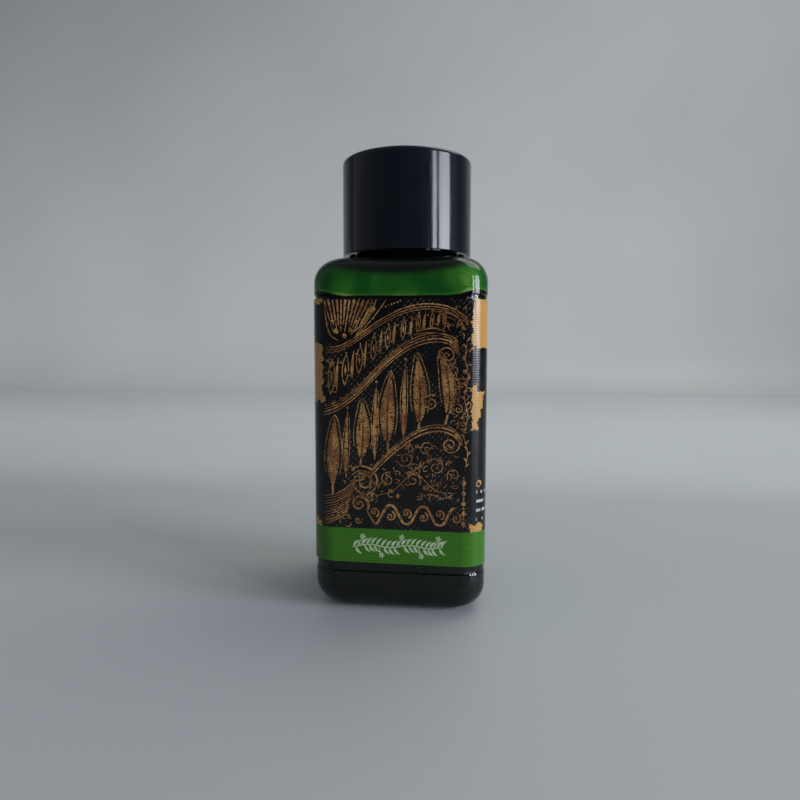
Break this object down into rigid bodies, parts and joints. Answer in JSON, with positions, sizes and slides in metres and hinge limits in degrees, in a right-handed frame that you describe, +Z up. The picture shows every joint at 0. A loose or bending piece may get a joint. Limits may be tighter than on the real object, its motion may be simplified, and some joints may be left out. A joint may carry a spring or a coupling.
{
  "type": "ink bottle",
  "caption": "Small square clear bottle of fountain pen ink with a wrap-around label and a smooth round screw cap.",
  "frame": {"origin": "centre of the foot, on the surface that the bottle stands on", "axes": "+Z up along the bottle and the cap's thread axis; the label's front faces -Y and +X is to its right"},
  "size_m": [0.028, 0.028, 0.0743],
  "materials": {
    "clear_pet": "clear blown PET, polished mould",
    "green_ink": "deep green liquid, near black in bulk",
    "printed_label": "satin printed film, antique gold line ornament and a leaf green band",
    "black_cap": "glossy moulded polypropylene",
    "foam_liner": "white polyethylene foam"
  },
  "bodies": {
    "bottle": {"bottle": "clear_pet", "ink": "green_ink", "label": "printed_label"},
    "liner": {"cap_liner": "foam_liner"},
    "cap": {"cap_shell": "black_cap"}
  },
  "joints": [
    {"name": "cap_lift", "type": "slide", "parent": "bottle", "child": "liner", "axis": [0, 0, 1], "range_m": [0, 0.0145]},
    {"name": "cap_turn", "type": "hinge", "parent": "liner", "child": "cap", "pos_m": [0, 0, 0.0715], "axis": [0, 0, 1], "range_deg": [0, 1620]}
  ],
  "couplings": [
    {"joint": "cap_lift", "follows": "cap_turn", "m_per_rad": 0.00050532}
  ]
}
